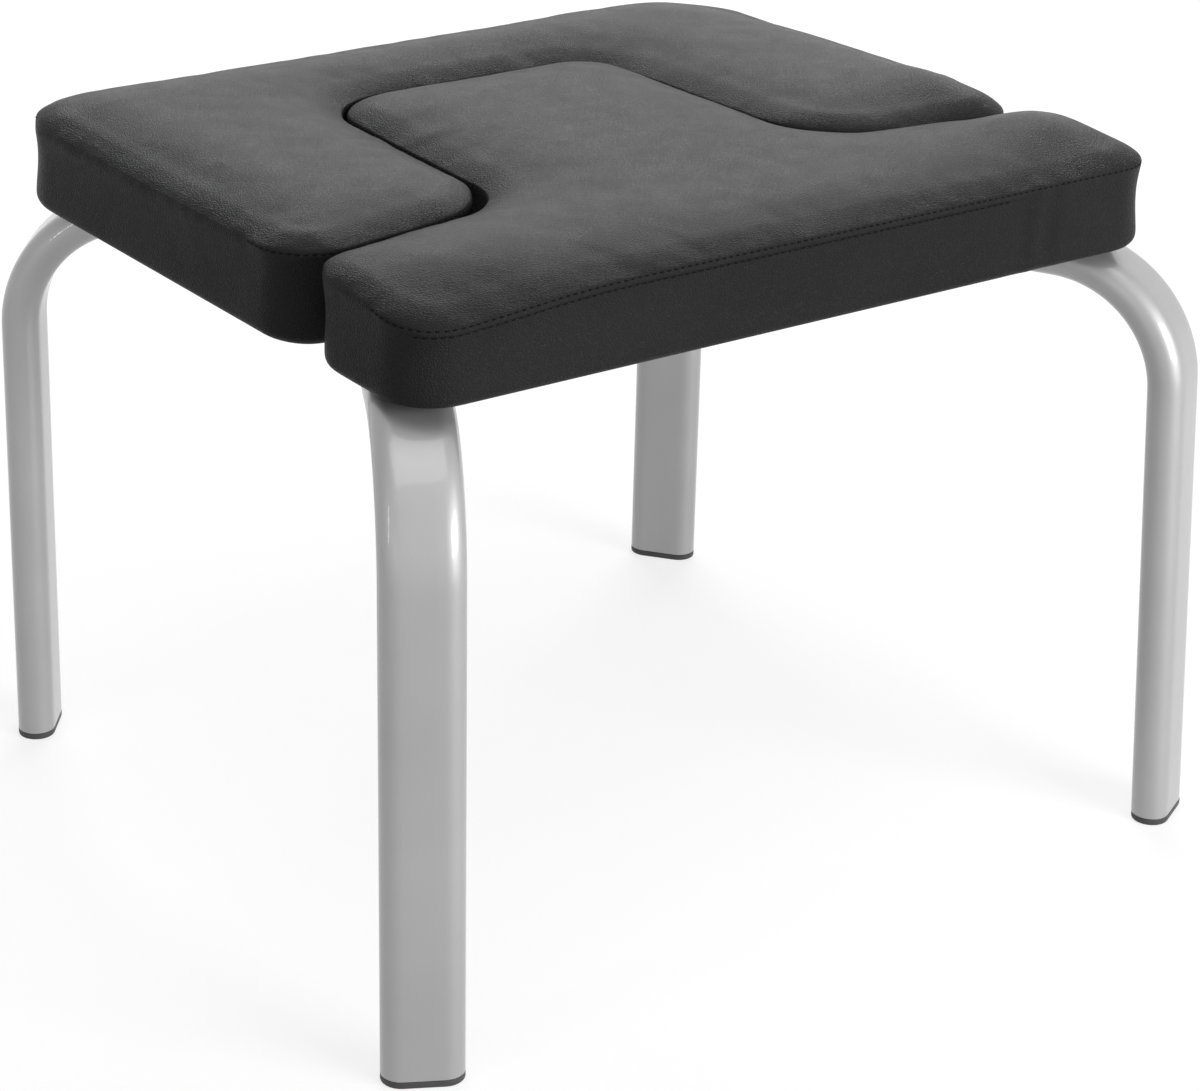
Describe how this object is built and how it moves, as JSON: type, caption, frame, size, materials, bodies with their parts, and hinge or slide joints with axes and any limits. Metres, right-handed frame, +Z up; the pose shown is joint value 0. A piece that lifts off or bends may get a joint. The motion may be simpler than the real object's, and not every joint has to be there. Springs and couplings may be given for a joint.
{
  "type": "yoga headstand stool",
  "caption": "Low stool for yoga headstands: a padded U-shaped shoulder rest on bent flat-oval legs, with a T-shaped padded insert that fills the head opening and lifts out.",
  "frame": {"origin": "on the floor under the middle of the whole stool's box", "axes": "+Z up, +X to the user's right along the seat's width, -Y the front, where the insert's bar is"},
  "size_m": [0.5116, 0.4514, 0.37],
  "materials": {
    "black_leather": "fine-grained black upholstery leather, semi-matt, with thread seams round the top edge",
    "silver_paint": "smooth glossy silver-grey powder coat",
    "black_plastic": "moulded dark grey plastic, matt",
    "zinc_steel": "bright zinc plate",
    "black_steel": "black powder coat",
    "plywood": "unfinished birch plywood",
    "foam": "open-cell upholstery foam",
    "black_fleece": "non-woven dust cover cloth"
  },
  "bodies": {
    "stool": {"shoulder_board": "plywood", "shoulder_foam": "foam", "shoulder_cover": "black_leather", "shoulder_dust_cover": "black_fleece", "tongue_ledge": "black_steel", "ledge_screw_left": "zinc_steel", "ledge_screw_middle": "zinc_steel", "ledge_screw_right": "zinc_steel", "front_left_leg": "silver_paint", "front_left_foot_plug": "black_plastic", "front_left_end_plug": "black_plastic", "front_right_leg": "silver_paint", "front_right_foot_plug": "black_plastic", "front_right_end_plug": "black_plastic", "rear_left_leg": "silver_paint", "rear_left_foot_plug": "black_plastic", "rear_left_end_plug": "black_plastic", "rear_right_leg": "silver_paint", "rear_right_foot_plug": "black_plastic", "rear_right_end_plug": "black_plastic", "front_left_bolt_outer": "zinc_steel", "front_left_washer_outer": "zinc_steel", "front_left_tee_nut_outer": "zinc_steel", "front_left_bolt_inner": "zinc_steel", "front_left_washer_inner": "zinc_steel", "front_left_tee_nut_inner": "zinc_steel", "front_right_bolt_outer": "zinc_steel", "front_right_washer_outer": "zinc_steel", "front_right_tee_nut_outer": "zinc_steel", "front_right_bolt_inner": "zinc_steel", "front_right_washer_inner": "zinc_steel", "front_right_tee_nut_inner": "zinc_steel", "rear_left_bolt_outer": "zinc_steel", "rear_left_washer_outer": "zinc_steel", "rear_left_tee_nut_outer": "zinc_steel", "rear_left_bolt_inner": "zinc_steel", "rear_left_washer_inner": "zinc_steel", "rear_left_tee_nut_inner": "zinc_steel", "rear_right_bolt_outer": "zinc_steel", "rear_right_washer_outer": "zinc_steel", "rear_right_tee_nut_outer": "zinc_steel", "rear_right_bolt_inner": "zinc_steel", "rear_right_washer_inner": "zinc_steel", "rear_right_tee_nut_inner": "zinc_steel"},
    "insert": {"insert_board": "plywood", "insert_foam": "foam", "insert_cover": "black_leather", "insert_dust_cover": "black_fleece", "insert_pin_left": "zinc_steel", "insert_pin_right": "zinc_steel"}
  },
  "joints": [
    {"name": "insert_lift", "type": "slide", "parent": "stool", "child": "insert", "axis": [0, 0, 1], "range_m": [0, 0.12]}
  ]
}
